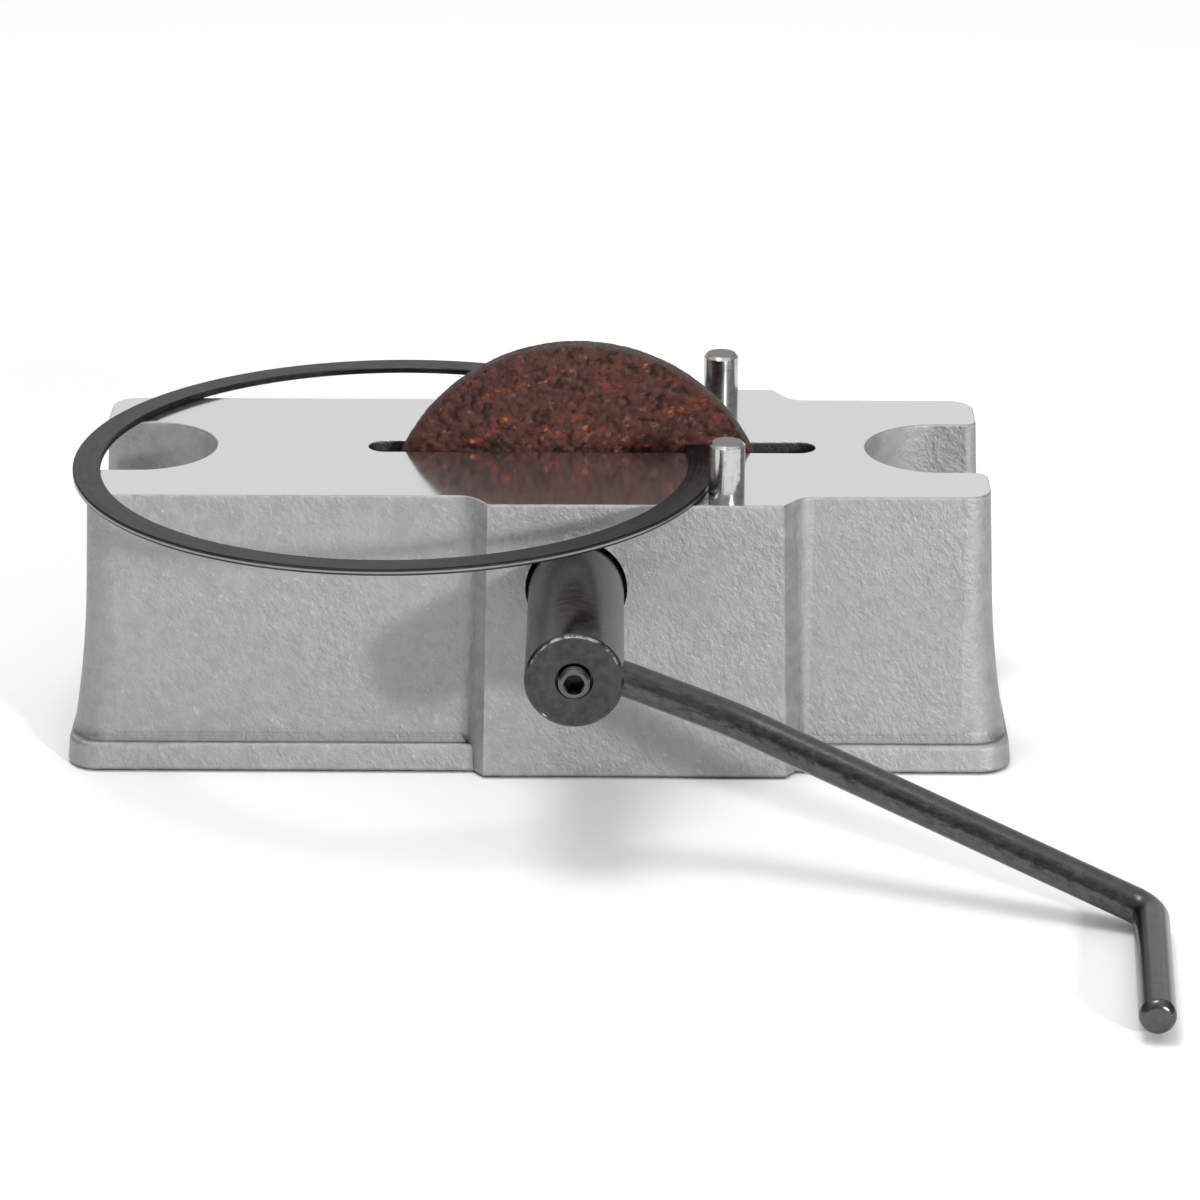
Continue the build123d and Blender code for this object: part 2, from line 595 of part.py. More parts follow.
# ---- Guide pins ----
def guide_pin(y):
    """Dowel pressed into the table, chamfered at both ends."""
    with BuildPart() as pin:
        with BuildSketch(Plane.XY.offset(TABLE_HEIGHT + PIN_STAND)):
            with Locations((PIN_X, y)):
                Circle(PIN_RADIUS)
        extrude(amount=-PIN_LENGTH)
        chamfer(pin.edges().filter_by(GeomType.CIRCLE), PIN_CHAMFER)
    return pin


guide_pin_front = guide_pin(PIN_FRONT_Y)
guide_pin_front.part.label = "guide_pin_front"
export_step(guide_pin_front.part, "parts/guide_pin_front.step")

guide_pin_rear = guide_pin(PIN_REAR_Y)
guide_pin_rear.part.label = "guide_pin_rear"
export_step(guide_pin_rear.part, "parts/guide_pin_rear.step")

# ---- Piston ring: rectangular section, with its gap cut parallel to the wheel's sides ----
with BuildPart() as piston_ring:
    with BuildSketch(Plane.XY.offset(TABLE_HEIGHT)):
        with Locations(RING_MIDDLE):
            Circle(RING_RADIUS)
            Circle(RING_RADIUS - RING_WIDTH, mode=Mode.SUBTRACT)
        with Locations((RING_MIDDLE[0] + RING_RADIUS, (RING_NEAR_END_Y + RING_FAR_END_Y) / 2)):
            Rectangle(RING_RADIUS, RING_FAR_END_Y - RING_NEAR_END_Y, mode=Mode.SUBTRACT)
    extrude(amount=RING_THICKNESS)
    rim_edges = piston_ring.edges().filter_by(GeomType.CIRCLE)
    chamfer(rim_edges, RING_EDGE_RADIUS)
piston_ring.part.label = "piston_ring"
export_step(piston_ring.part, "parts/piston_ring.step")
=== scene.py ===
"""Looks for the hand-cranked piston ring filer: materials, a gritty wheel, studio light and camera.

Lengths are in metres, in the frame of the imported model.
"""

import json
import math

import bpy
from mathutils import Matrix, Vector, noise


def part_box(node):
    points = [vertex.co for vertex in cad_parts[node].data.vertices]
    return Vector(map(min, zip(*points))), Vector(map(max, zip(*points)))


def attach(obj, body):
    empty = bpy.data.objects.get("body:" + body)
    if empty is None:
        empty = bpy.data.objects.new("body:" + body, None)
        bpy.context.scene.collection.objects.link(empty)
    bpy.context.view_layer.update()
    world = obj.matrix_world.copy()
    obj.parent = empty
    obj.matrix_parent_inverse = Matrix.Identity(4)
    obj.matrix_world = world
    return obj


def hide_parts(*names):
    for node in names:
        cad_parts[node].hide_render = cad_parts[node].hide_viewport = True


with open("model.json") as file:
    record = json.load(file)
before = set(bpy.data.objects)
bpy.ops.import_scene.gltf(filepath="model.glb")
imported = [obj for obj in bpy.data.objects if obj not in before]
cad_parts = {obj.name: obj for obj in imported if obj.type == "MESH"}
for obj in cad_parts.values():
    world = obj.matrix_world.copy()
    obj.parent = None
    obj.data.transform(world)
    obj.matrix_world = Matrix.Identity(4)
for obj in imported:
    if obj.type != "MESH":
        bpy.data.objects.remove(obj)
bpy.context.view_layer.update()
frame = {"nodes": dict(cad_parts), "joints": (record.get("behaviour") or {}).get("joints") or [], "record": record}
nodes = frame["nodes"]

MM = 0.001

# ---- Places and sizes, read from the frame except the slot's, the rod's and the elbow's ----
AXIS = Vector(next(joint["pos_m"] for joint in frame["joints"] if joint["name"] == "crank_spin"))

RING_LOW, RING_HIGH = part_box("piston_ring")
TABLE_Z = RING_LOW.z
RING_RADIUS = (RING_HIGH.y - RING_LOW.y) / 2
RING_CENTRE = Vector((RING_LOW.x + RING_RADIUS, (RING_LOW.y + RING_HIGH.y) / 2, 0))

HEAD_LOW, HEAD_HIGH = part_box("spindle")
HEAD_RADIUS = (HEAD_HIGH.x - HEAD_LOW.x) / 2
HEAD_FRONT_Y = HEAD_LOW.y
SCREW_LOW, SCREW_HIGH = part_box("crank_set_screw")
SCREW_RADIUS = (SCREW_HIGH.x - SCREW_LOW.x) / 2

PIN_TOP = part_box("guide_pin_front")[1].z

WHEEL_LOW, WHEEL_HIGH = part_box("grinding_wheel")
WHEEL_RADIUS = (WHEEL_HIGH.x - WHEEL_LOW.x) / 2
FLANGE_LOW, FLANGE_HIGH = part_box("wheel_flange_front")
FLANGE_RADIUS = (FLANGE_HIGH.x - FLANGE_LOW.x) / 2
BUSH_LOW, BUSH_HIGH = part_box("wheel_arbor_bush")
BUSH_RADIUS = (BUSH_HIGH.x - BUSH_LOW.x) / 2

# The slot that the wheel comes up through, a little larger than it is, so that its walls are inside. The casting
# there is coloured dark down to SLOT_SHADE_DEPTH as painted shade.
SLOT_MIDDLE_X = 9.2 * MM
SLOT_HALF_LENGTH = 40.4 * MM
SLOT_HALF_WIDTH = 3.3 * MM
SLOT_SHADE_DEPTH = 9 * MM

# The rod's arm falls to the right at ARM_FALL, and its handle lies in front of ELBOW_Y
ARM_LOW, ARM_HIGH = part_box("crank_arm")
ROD_RADIUS = 3.0 * MM
HANDLE_SHARE = 0.55
ELBOW_Y = ARM_LOW.y + (ARM_HIGH.y - ARM_LOW.y) * HANDLE_SHARE
ARM_RUN = ARM_HIGH.x - ROD_RADIUS - AXIS.x
ARM_DROP = AXIS.z - (ARM_LOW.z + ROD_RADIUS)
ARM_FALL = math.atan2(ARM_DROP, ARM_RUN)


# ---- Small helpers for shader trees ----
def add(tree, kind, inputs=None, **settings):
    """Adds a node, sets its properties, and fills its inputs with values or with other nodes' outputs."""
    node = tree.nodes.new(kind)
    for name, value in settings.items():
        setattr(node, name, value)
    for key, value in (inputs or {}).items():
        if isinstance(value, bpy.types.NodeSocket):
            tree.links.new(value, node.inputs[key])
        else:
            node.inputs[key].default_value = value
    return node


def calculate(tree, operation, a, b=0.0, c=0.0):
    return add(tree, "ShaderNodeMath", {0: a, 1: b, 2: c}, operation=operation).outputs[0]


def times(tree, a, b):
    return calculate(tree, "MULTIPLY", a, b)


def fade(tree, value, low, high, at_low=0.0, at_high=1.0):
    """Goes smoothly from at_low to at_high as value goes from low to high."""
    inputs = {"Value": value, "From Min": low, "From Max": high, "To Min": at_low, "To Max": at_high}
    return add(tree, "ShaderNodeMapRange", inputs, interpolation_type="SMOOTHSTEP").outputs["Result"]


def band(tree, value, low, high, soft):
    """One between low and high, falling to zero over soft on each side."""
    rise = fade(tree, value, low - soft / 2, low + soft / 2)
    fall = fade(tree, value, high - soft / 2, high + soft / 2, 1.0, 0.0)
    return times(tree, rise, fall)


def mix_colour(tree, factor, a, b):
    return add(tree, "ShaderNodeMix", {0: factor, 6: a, 7: b}, data_type="RGBA").outputs[2]


def mix_value(tree, factor, a, b):
    return add(tree, "ShaderNodeMix", {0: factor, 2: a, 3: b}, data_type="FLOAT").outputs[0]


def object_position(tree, stretch=(1, 1, 1), turn=(0, 0, 0)):
    """Place on the object, in metres, turned and then stretched for patterns with a direction."""
    place = add(tree, "ShaderNodeTexCoord").outputs["Object"]
    turned = add(tree, "ShaderNodeMapping", {"Vector": place, "Rotation": turn}).outputs[0]
    return add(tree, "ShaderNodeMapping", {"Vector": turned, "Scale": stretch}).outputs[0]


def noise_value(tree, place, grain, detail=3.0, roughness=0.55, distortion=0.0):
    """Noise from 0 to 1 whose features are about grain metres across."""
    inputs = {"Vector": place, "Scale": 1 / grain, "Detail": detail, "Roughness": roughness,
              "Distortion": distortion}
    return add(tree, "ShaderNodeTexNoise", inputs).outputs["Fac"]


def cells(tree, place, size):
    """Cells about size metres across, each with its own random colour."""
    return add(tree, "ShaderNodeTexVoronoi", {"Vector": place, "Scale": 1 / size}).outputs["Color"]


def xyz(tree, place):
    return add(tree, "ShaderNodeSeparateXYZ", {0: place}).outputs


def distance(tree, a, b, centre_a, centre_b):
    """Distance from a centre, both given by two coordinates."""
    from_a = calculate(tree, "SUBTRACT", a, centre_a)
    from_b = calculate(tree, "SUBTRACT", b, centre_b)
    square = calculate(tree, "MULTIPLY_ADD", from_a, from_a, times(tree, from_b, from_b))
    return calculate(tree, "SQRT", square)


def crevice(tree, reach, inside=False):
    """One in the open, less in corners and grooves within reach metres, or with inside, at outer edges."""
    inputs = {"Distance": reach}
    settings = {"samples": 4, "only_local": True, "inside": inside}
    return add(tree, "ShaderNodeAmbientOcclusion", inputs, **settings).outputs["AO"]


def grey(value):
    return (value, value, value, 1.0)


def bump(tree, height, depth):
    """Surface relief: height from 0 to 1 stands for depth metres."""
    inputs = {"Height": height, "Strength": 1.0, "Distance": depth}
    return add(tree, "ShaderNodeBump", inputs).outputs[0]


def new_material(name, **values):
    """A material with a Principled shader whose plain sockets are set from values."""
    material = bpy.data.materials.new(name)
    material.use_nodes = True
    shader = material.node_tree.nodes["Principled BSDF"]
    for key, value in values.items():
        shader.inputs[key.replace("_", " ")].default_value = value
    return material, material.node_tree, shader


def connect(tree, shader, colour=None, roughness=None, normal=None):
    for name, socket in (("Base Color", colour), ("Roughness", roughness), ("Normal", normal)):
        if socket is not None:
            tree.links.new(socket, shader.inputs[name])


# ---- Materials ----
def cast_aluminium():
    """Sand-cast skin, rubbed bright on its edges, with painted shade in its grooves and corners, a painted contact
    shadow along the foot's bottom and painted shade down inside the slot. The table is ground and polished.

    The rim underneath is milled. A rough clear coat over the table softens its reflections.
    """
    material, tree, shader = new_material("cast_aluminium", Metallic=1.0, Coat_Roughness=0.55)
    place = object_position(tree)
    split = xyz(tree, place)
    height = split["Z"]
    table = fade(tree, height, TABLE_Z - 0.08 * MM, TABLE_Z - 0.01 * MM)
    milled = fade(tree, height, 0.02 * MM, 0.08 * MM, 1.0, 0.0)
    machined = calculate(tree, "MAXIMUM", table, milled)

    broad = noise_value(tree, place, 22 * MM, 2.0, 0.5)
    slanted = object_position(tree, (1, 1, 0.75), (0, 0.6, 0))
    peel = noise_value(tree, slanted, 1.0 * MM, 2.0, 0.55, 0.4)
    sand = noise_value(tree, place, 0.42 * MM, 2.0, 0.6)
    mottle = noise_value(tree, place, 2.8 * MM, 5.0, 0.65)

    skin = mix_colour(tree, fade(tree, mottle, 0.3, 0.7), grey(0.35), grey(0.43))
    skin = mix_colour(tree, fade(tree, peel, 0.62, 0.78, 0.0, 0.4), skin, grey(0.60))
    skin = mix_colour(tree, fade(tree, sand, 0.26, 0.38, 0.35, 0.0), skin, grey(0.22))
    # Painted shade: the skin goes near black in corners and grooves within 2 mm, where shade falls.
    skin = mix_colour(tree, fade(tree, crevice(tree, 2.0 * MM), 0.50, 0.95, 1.0, 0.0), skin, grey(0.05))
    # Painted contact shadow: the skin goes near black along the bottom 0.9 mm of the foot, where it meets the
    # floor.
    skin = mix_colour(tree, fade(tree, height, 0.25 * MM, 0.9 * MM, 0.85, 0.0), skin, grey(0.04))

    rubbed = fade(tree, crevice(tree, 1.3 * MM, inside=True), 0.45, 0.85, 1.0, 0.0)
    rubbed = times(tree, rubbed, fade(tree, mottle, 0.40, 0.65, 0.0, 0.8))
    skin = mix_colour(tree, rubbed, skin, grey(0.66))

    clouds = noise_value(tree, place, 25 * MM, 2.0, 0.5)
    polished = mix_colour(tree, clouds, grey(0.68), grey(0.74))
    colour = mix_colour(tree, machined, skin, polished)

    # Painted shade: the slot's walls are coloured dark grey down to SLOT_SHADE_DEPTH below the table.
    across_slot = band(tree, split["Y"], -SLOT_HALF_WIDTH, SLOT_HALF_WIDTH, 0.1 * MM)
    down_slot = band(tree, height, TABLE_Z - SLOT_SHADE_DEPTH, TABLE_Z - 0.3 * MM, 0.4 * MM)
    from_middle = calculate(tree, "ABSOLUTE", calculate(tree, "SUBTRACT", split["X"], SLOT_MIDDLE_X))
    along_slot = fade(tree, from_middle, SLOT_HALF_LENGTH, SLOT_HALF_LENGTH + 0.2 * MM, 1.0, 0.0)
    slot_painted_shade = times(tree, times(tree, across_slot, down_slot), along_slot)
    colour = mix_colour(tree, slot_painted_shade, colour, grey(0.10))

    haze = noise_value(tree, object_position(tree, (1, 0.5, 1), (0, 0, 0.5)), 1.2 * MM, 4.0, 0.6)
    table_rough = fade(tree, haze, 0.3, 0.7, 0.10, 0.15)
    skin_rough = fade(tree, mottle, 0.3, 0.7, 0.56, 0.66)
    rough = mix_value(tree, table, skin_rough, table_rough)
    rough = mix_value(tree, milled, rough, 0.38)

    relief = calculate(tree, "MULTIPLY_ADD", peel, fade(tree, broad, 0.3, 0.65, 0.35, 0.85),
                       times(tree, sand, 0.22))
    relief = times(tree, relief, calculate(tree, "SUBTRACT", 1.0, machined))
    tree.links.new(table, shader.inputs["Coat Weight"])
    connect(tree, shader, colour, rough, bump(tree, relief, 0.26 * MM))
    return material


def abrasive():
    """Reddish-brown bonded grit with a few orange streaks and painted shade in its pores. The rim is worn grey.

    The painted pore shade follows the pit attribute, which gritty_wheel writes.
    """
    material, tree, shader = new_material("abrasive", Specular_IOR_Level=0.3)
    place = object_position(tree)
    shade = add(tree, "ShaderNodeSeparateColor", {0: cells(tree, place, 0.9 * MM)}).outputs
    broad = fade(tree, noise_value(tree, place, 3.2 * MM, 3.0, 0.6), 0.35, 0.65)
    brown = mix_colour(tree, broad, (0.040, 0.013, 0.009, 1), (0.080, 0.025, 0.017, 1))
    grains = fade(tree, shade["Red"], 0.3, 1.0, 0.0, 0.7)
    brown = mix_colour(tree, grains, brown, (0.105, 0.038, 0.030, 1))
    pale = fade(tree, shade["Green"], 0.93, 0.99, 0.0, 0.55)
    brown = mix_colour(tree, pale, brown, (0.21, 0.105, 0.09, 1))

    along = object_position(tree, (0.3, 1, 1), (0, 0.2, 0))
    streaks = noise_value(tree, along, 2.2 * MM, 3.0, 0.6)
    breaks = noise_value(tree, place, 1.3 * MM, 2.0, 0.5)
    orange = times(tree, fade(tree, streaks, 0.54, 0.66), fade(tree, breaks, 0.40, 0.62))
    brown = mix_colour(tree, orange, brown, (0.19, 0.038, 0.014, 1))
    amber = times(tree, orange, fade(tree, shade["Blue"], 0.86, 0.94, 0.0, 0.8))
    brown = mix_colour(tree, amber, brown, (0.50, 0.17, 0.045, 1))

    pit = add(tree, "ShaderNodeAttribute", attribute_name="pit").outputs["Fac"]
    # Painted shade: the deeper a pore is sunk, the nearer to black its colour.
    brown = mix_colour(tree, fade(tree, pit, 0.30, 0.75, 0.0, 0.9), brown, (0.008, 0.004, 0.004, 1))
    split = xyz(tree, place)
    radius = distance(tree, split["X"], split["Z"], AXIS.x, AXIS.z)
    rim = fade(tree, radius, WHEEL_RADIUS - 0.6 * MM, WHEEL_RADIUS - 0.2 * MM, 0.0, 0.85)
    brown = mix_colour(tree, rim, brown, (0.052, 0.040, 0.034, 1))

    rough = fade(tree, shade["Green"], 0.0, 1.0, 0.5, 0.85)
    relief = noise_value(tree, place, 0.35 * MM, 2.0, 0.6)
    connect(tree, shader, brown, rough, bump(tree, relief, 0.10 * MM))
    return material


def blackened_steel():
    """Turned steel under a satin black finish, worn bright in chips round the edge of the spindle's face, with
    more chips towards the top as a painted highlight, and painted shade in its hollows.
    """
    material, tree, shader = new_material("blackened_steel", Metallic=1.0)
    place = object_position(tree)
    split = xyz(tree, place)
    radius = distance(tree, split["X"], split["Z"], AXIS.x, AXIS.z)
    blotches = noise_value(tree, place, 1.8 * MM, 4.0, 0.65)
    clouds = noise_value(tree, place, 7 * MM, 2.0, 0.5)
    colour = mix_colour(tree, fade(tree, blotches, 0.3, 0.7), grey(0.046), grey(0.075))
    colour = mix_colour(tree, fade(tree, clouds, 0.4, 0.7, 0.0, 0.5), colour, grey(0.088))

    edge = times(tree, band(tree, radius, HEAD_RADIUS - 0.62 * MM, HEAD_RADIUS - 0.25 * MM, 0.15 * MM),
                 fade(tree, split["Y"], HEAD_FRONT_Y + 0.3 * MM, HEAD_FRONT_Y + 0.9 * MM, 1.0, 0.0))
    chips = noise_value(tree, place, 2.6 * MM, 4.0, 0.7)
    # Wear and painted highlight: the chips are real wear, made more frequent towards the top of the face where
    # light falls.
    top_highlight_bias = fade(tree, split["Z"], AXIS.z - 2 * MM, AXIS.z + 6 * MM, 0.0, 0.12)
    chips = fade(tree, calculate(tree, "ADD", chips, top_highlight_bias), 0.58, 0.70)
    worn = times(tree, edge, chips)
    colour = mix_colour(tree, worn, colour, grey(0.50))
    screw = times(tree, fade(tree, radius, SCREW_RADIUS, SCREW_RADIUS + 0.1 * MM, 1.0, 0.0),
                  fade(tree, split["Y"], HEAD_FRONT_Y - 0.1 * MM, HEAD_FRONT_Y + 0.4 * MM, 1.0, 0.0))
    colour = mix_colour(tree, screw, colour, grey(0.12))
    # Painted shade: near black in hollows and corners within 3 mm, where shade falls.
    painted_crevice_shade = fade(tree, crevice(tree, 3 * MM), 0.15, 0.8, 0.95, 0.0)
    colour = mix_colour(tree, painted_crevice_shade, colour, grey(0.004))
    rough = fade(tree, blotches, 0.2, 0.8, 0.16, 0.29)

    lines = noise_value(tree, object_position(tree, (0.02, 1, 0.02)), 0.30 * MM, 2.0, 0.6)
    rings = add(tree, "ShaderNodeCombineXYZ", {"X": radius}).outputs[0]
    rings = noise_value(tree, rings, 0.45 * MM, 2.0, 0.6)
    relief = calculate(tree, "ADD", times(tree, lines, 0.5), times(tree, rings, 0.5))
    connect(tree, shader, colour, rough, bump(tree, relief, 0.012 * MM))
    return material


def rod_steel():
    """Dark drawn rod with streaks of millscale along the middle of its arm, kept to the arm's upper side as
    painted shade, so that the top of the arm is darker than its underside.
    """
    material, tree, shader = new_material("rod_steel", Metallic=1.0)
    place = object_position(tree)
    split = xyz(tree, place)
    along = object_position(tree, (0.35, 1, 1), (0, -ARM_FALL, 0))
    streaks = noise_value(tree, along, 0.9 * MM, 5.0, 0.7)
    blotches = noise_value(tree, place, 1.5 * MM, 4.0, 0.6)

    drop = times(tree, calculate(tree, "SUBTRACT", split["X"], AXIS.x), math.tan(ARM_FALL))
    above = calculate(tree, "ADD", calculate(tree, "SUBTRACT", split["Z"], AXIS.z), drop)
    across = times(tree, above, math.cos(ARM_FALL) / ROD_RADIUS)
    on_arm = fade(tree, split["Y"], ELBOW_Y - 3 * MM, ELBOW_Y)
    # Millscale and painted shade: the dark streaks are biased to the arm's upper side so that its top is darker
    # than its underside.
    millscale_and_top_shade = calculate(tree, "ADD", times(tree, across, 0.16), streaks)
    millscale_and_top_shade = times(tree, fade(tree, millscale_and_top_shade, 0.40, 0.68), on_arm)
    millscale_and_top_shade = times(tree, millscale_and_top_shade, band(tree, across, -0.35, 0.75, 0.7))
    bare = mix_colour(tree, fade(tree, blotches, 0.3, 0.7), grey(0.088), grey(0.112))
    colour = mix_colour(tree, millscale_and_top_shade, bare, grey(0.040))
    rough = mix_value(tree, millscale_and_top_shade, 0.24, 0.38)
    connect(tree, shader, colour, rough, bump(tree, blotches, 0.02 * MM))
    return material


def bright_steel():
    """Ground pins, with faint lines round them."""
    material, tree, shader = new_material("bright_steel", Metallic=1.0)
    place = object_position(tree)
    lines = noise_value(tree, object_position(tree, (0.2, 0.2, 1)), 0.25 * MM, 2.0, 0.6)
    stains = noise_value(tree, place, 1.6 * MM, 4.0, 0.6)
    colour = mix_colour(tree, fade(tree, stains, 0.5, 0.75, 0.0, 0.8), grey(0.54), (0.31, 0.28, 0.26, 1))
    top = fade(tree, xyz(tree, place)["Z"], PIN_TOP - 0.10 * MM, PIN_TOP - 0.03 * MM)
    colour = mix_colour(tree, top, colour, (0.20, 0.18, 0.17, 1))
    rough = mix_value(tree, top, fade(tree, lines, 0.3, 0.7, 0.13, 0.24), 0.38)
    connect(tree, shader, colour, rough, bump(tree, lines, 0.006 * MM))
    return material


def ring_iron():
    """Dark phosphated iron with fine turned lines, and the outer face lapped bright between its edges. A
    near-black line of painted shade runs round the outer edge of the flat faces.
    """
    material, tree, shader = new_material("ring_iron", Metallic=1.0)
    place = object_position(tree)
    split = xyz(tree, place)
    radius = distance(tree, split["X"], split["Y"], RING_CENTRE.x, RING_CENTRE.y)
    outside = fade(tree, radius, RING_RADIUS - 0.06 * MM, RING_RADIUS - 0.03 * MM)
    height = calculate(tree, "SUBTRACT", split["Z"], TABLE_Z)
    lapped = times(tree, outside, band(tree, height, 0.40 * MM, 0.74 * MM, 0.08 * MM))
    round_ring = {"X": radius, "Y": times(tree, split["X"], 0.03)}
    rings = add(tree, "ShaderNodeCombineXYZ", round_ring).outputs[0]
    lines = noise_value(tree, rings, 0.35 * MM, 2.0, 0.6)
    blotches = noise_value(tree, place, 2.2 * MM, 4.0, 0.65)
    dark = mix_colour(tree, fade(tree, blotches, 0.3, 0.7), grey(0.038), grey(0.062))
    dark = mix_colour(tree, fade(tree, lines, 0.45, 0.62, 0.0, 0.6), dark, grey(0.022))
    # Painted shade: a near-black line round the outer edge of the ring's flat faces.
    edge = band(tree, radius, RING_RADIUS - 0.30 * MM, RING_RADIUS - 0.05 * MM, 0.1 * MM)
    dark = mix_colour(tree, edge, dark, grey(0.02))
    colour = mix_colour(tree, lapped, dark, grey(0.27))
    rough = mix_value(tree, lapped, fade(tree, blotches, 0.2, 0.8, 0.36, 0.50), 0.28)
    connect(tree, shader, colour, rough, bump(tree, lines, 0.01 * MM))
    return material


def plain_metal(name, light, dark, low_rough, high_rough):
    material, tree, shader = new_material(name, Metallic=1.0)
    blotches = noise_value(tree, object_position(tree), 1.5 * MM, 4.0, 0.6)
    colour = mix_colour(tree, blotches, dark, light)
    rough = fade(tree, blotches, 0.25, 0.75, low_rough, high_rough)
    connect(tree, shader, colour, rough, bump(tree, blotches, 0.02 * MM))
    return material


def blotter_paper():
    material, tree, shader = new_material("blotter_paper", Roughness=0.9)
    fibres = noise_value(tree, object_position(tree), 0.4 * MM, 4.0, 0.7)
    colour = mix_colour(tree, fibres, (0.36, 0.31, 0.24, 1), (0.58, 0.52, 0.43, 1))
    connect(tree, shader, colour, None, bump(tree, fibres, 0.04 * MM))
    return material


MATERIALS = {
    "cast_aluminium": cast_aluminium(),
    "abrasive": abrasive(),
    "blackened_steel": blackened_steel(),
    "rod_steel": rod_steel(),
    "bright_steel": bright_steel(),
    "ring_iron": ring_iron(),
    "bronze": plain_metal("bronze", (0.62, 0.42, 0.20, 1), (0.44, 0.28, 0.12, 1), 0.32, 0.5),
    "zinc_steel": plain_metal("zinc_steel", grey(0.62), grey(0.45), 0.28, 0.45),
    "blotter_paper": blotter_paper(),
}
for subpart in frame["record"]["subparts"]:
    for material_slot in nodes[subpart["node"]].material_slots:
        material_slot.material = MATERIALS[subpart["material_slot"]]


# ---- Abrasive wheel with real grit on its faces and rim ----
GRIT_STEP = 0.4 * MM  # between neighbouring vertices
GRIT_DEPTH = 0.42 * MM  # from the proudest grain to the deepest pore
GRAIN = 1.25 * MM
GRAIN_STEEPNESS = 1.6
LEVEL_SPREAD = 7.3  # takes each grain's centre to a place of its own in the noise
LUMP = 3.2 * MM
GRAIN_SHARE, LEVEL_SHARE, LUMP_SHARE = 0.52, 0.26, 0.30
FLAT_TOPS = 0.08  # depths less than this are ground flush
WHEEL_ROUNDING = 0.3 * MM
RIM_SHARE = 0.3  # the rim is worn, so its pores are this much as deep


def grit_depth(place):
    """How deep the surface lies at a place, from 0 on the proudest grains to 1 in the deepest pores."""
    distances, points = noise.voronoi(place / GRAIN)
    grain_top = min(1.0, distances[0] ** 2 * GRAIN_STEEPNESS)
    level = noise.cell(points[0] * LEVEL_SPREAD)
    lumps = 0.5 + 0.5 * noise.fractal(place / LUMP, 1.0, 2.0, 3)
    depth = GRAIN_SHARE * grain_top + LEVEL_SHARE * level + LUMP_SHARE * lumps - FLAT_TOPS
    return max(0.0, min(1.0, depth))


def wheel_profile():
    """Radius, Y and inward direction round the wheel's section, from the front of its bore to the back."""
    front, back = WHEEL_LOW.y, WHEEL_HIGH.y
    face = WHEEL_RADIUS - WHEEL_ROUNDING - FLANGE_RADIUS
    rows = round(face / GRIT_STEP)
    radii = [BUSH_RADIUS] + [FLANGE_RADIUS + face * row / rows for row in range(rows + 1)]
    width = back - front - 2 * WHEEL_ROUNDING
    columns = round(width / GRIT_STEP)
    ys = [front + WHEEL_ROUNDING + width * column / columns for column in range(columns + 1)]
    profile = [(radius, front, 0.0, 1.0) for radius in radii]
    profile += [(WHEEL_RADIUS, y, -RIM_SHARE, 0.0) for y in ys]
    profile += [(radius, back, 0.0, -1.0) for radius in reversed(radii)]
    return profile


def gritty_wheel():
    """The wheel with pores sunk in its faces and rim, smooth where the flanges and the bush hold it."""
    profile = wheel_profile()
    turns = round(math.tau * WHEEL_RADIUS / GRIT_STEP)
    vertices, depths = [], []
    for turn in range(turns):
        angle = math.tau * turn / turns
        outwards = Vector((math.sin(angle), 0, math.cos(angle)))
        for radius, y, in_radius, in_y in profile:
            base = Vector((AXIS.x, y, AXIS.z)) + outwards * radius
            depth = grit_depth(base) if radius > FLANGE_RADIUS else 0.0
            sunk = depth * GRIT_DEPTH
            vertices.append(base + outwards * (in_radius * sunk) + Vector((0, in_y * sunk, 0)))
            depths.append(depth)
    rows = len(profile)
    faces = []
    for turn in range(turns):
        here, following = turn * rows, (turn + 1) % turns * rows
        for row in range(rows):
            after = (row + 1) % rows
            faces.append((here + row, here + after, following + after, following + row))
    mesh = bpy.data.meshes.new("grinding_wheel_grit")
    mesh.from_pydata(vertices, [], faces)
    # The pit depth also drives the painted shade in the abrasive's pores.
    mesh.attributes.new("pit", "FLOAT", "POINT").data.foreach_set("value", depths)
    mesh.polygons.foreach_set("use_smooth", [True] * len(faces))
    mesh.materials.append(MATERIALS["abrasive"])
    wheel = bpy.data.objects.new("grinding_wheel_grit", mesh)
    bpy.context.scene.collection.objects.link(wheel)
    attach(wheel, "crank")
    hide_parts("grinding_wheel")


gritty_wheel()


# ---- Stage, light and camera ----
FLOOR_REACH = 30.0
LIGHT_TARGET = Vector((0, 0, 30 * MM))
CAMERA_PLACE = (12.8 * MM, -794.7 * MM, 322.7 * MM)
CAMERA_LENS = 139.8  # on a 36 mm sensor
CAMERA_DOWN, CAMERA_YAW, CAMERA_ROLL = (math.radians(angle) for angle in (20.77, -0.15, 0.17))


def make_floor():
    """A plain pale floor, level with the bench."""
    mesh = bpy.data.meshes.new("floor")
    ends = (-FLOOR_REACH, FLOOR_REACH)
    corners = [(ends[0], ends[0], 0), (ends[1], ends[0], 0), (ends[1], ends[1], 0), (ends[0], ends[1], 0)]
    mesh.from_pydata(corners, [], [(0, 1, 2, 3)])
    floor = bpy.data.objects.new("floor", mesh)
    bpy.context.scene.collection.objects.link(floor)
    values = {"Base_Color": grey(0.96), "Roughness": 0.9, "Specular_IOR_Level": 0.0}
    mesh.materials.append(new_material("floor_white", **values)[0])


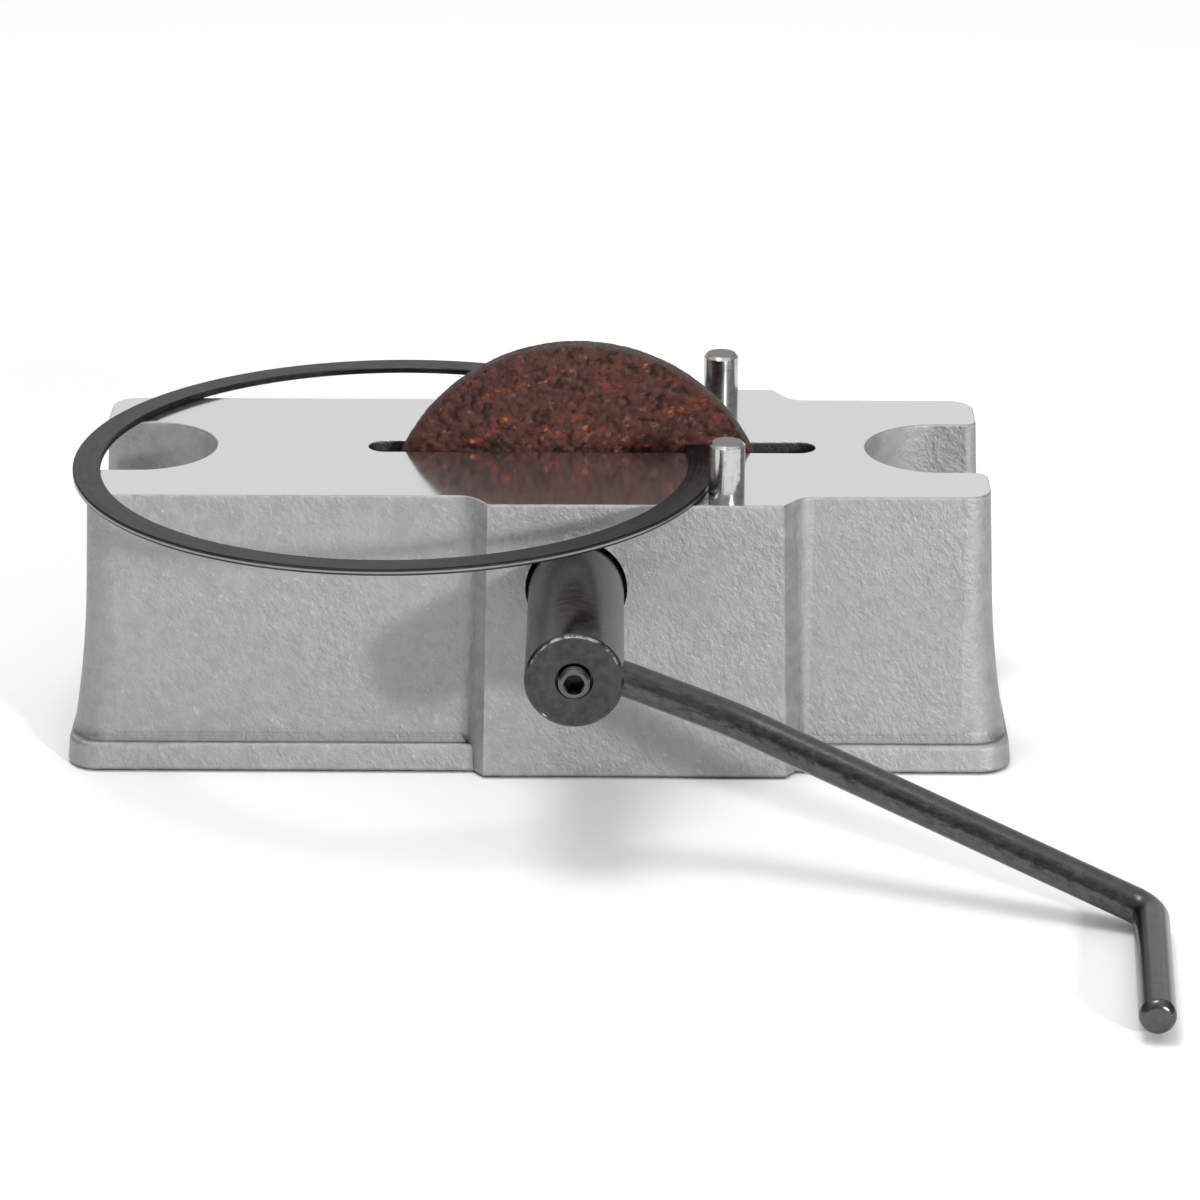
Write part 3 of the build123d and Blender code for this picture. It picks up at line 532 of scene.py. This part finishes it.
def soft_light(name, place, size, watts):
    """A rectangle of light of that size, pointed at the tool."""
    data = bpy.data.lights.new(name, "AREA")
    data.shape = "RECTANGLE"
    data.size, data.size_y = size
    data.energy = watts
    light = bpy.data.objects.new(name, data)
    bpy.context.scene.collection.objects.link(light)
    light.location = place
    light.rotation_mode = "QUATERNION"
    light.rotation_quaternion = (LIGHT_TARGET - Vector(place)).to_track_quat("-Z", "Y")


def make_world():
    """A soft white room: brightest overhead, dim to the left and right."""
    world = bpy.data.worlds.new("studio")
    world.use_nodes = True
    tree = world.node_tree
    direction = xyz(tree, add(tree, "ShaderNodeTexCoord").outputs["Generated"])
    overhead = fade(tree, direction["Z"], 0.4, 0.9, 0.42, 0.95)
    sideways = fade(tree, calculate(tree, "ABSOLUTE", direction["X"]), 0.45, 0.9, 1.0, 0.55)
    background = tree.nodes["Background"]
    background.inputs["Color"].default_value = (1, 1, 1, 1)
    tree.links.new(times(tree, overhead, sideways), background.inputs["Strength"])
    bpy.context.scene.world = world


def make_camera():
    """Long lens, in front and above, looking down on the table."""
    data = bpy.data.cameras.new("camera")
    data.sensor_width = 36.0
    data.lens = CAMERA_LENS
    data.clip_start = 0.01
    data.clip_end = 200.0
    camera = bpy.data.objects.new("camera", data)
    bpy.context.scene.collection.objects.link(camera)
    ahead = Vector((math.sin(CAMERA_YAW), math.cos(CAMERA_YAW), 0))
    forward = ahead * math.cos(CAMERA_DOWN) - Vector((0, 0, math.sin(CAMERA_DOWN)))
    level = Vector((math.cos(CAMERA_YAW), -math.sin(CAMERA_YAW), 0))
    upright = level.cross(forward)
    right = math.cos(CAMERA_ROLL) * level + math.sin(CAMERA_ROLL) * upright
    up = -math.sin(CAMERA_ROLL) * level + math.cos(CAMERA_ROLL) * upright
    turn = Matrix((right, up, -forward)).transposed().to_4x4()
    camera.matrix_world = Matrix.Translation(CAMERA_PLACE) @ turn
    bpy.context.scene.camera = camera


make_floor()
make_world()
soft_light("key_light", place=(0.77, -1.33, 0.46), size=(0.11, 0.11), watts=14.0)
soft_light("top_light", place=(-0.12, -0.05, 1.2), size=(0.42, 0.42), watts=5.2)
soft_light("back_light", place=(0.0, 2.4, 1.0), size=(3.2, 1.7), watts=7.4)
make_camera()
bpy.context.scene.view_settings.view_transform = "Standard"
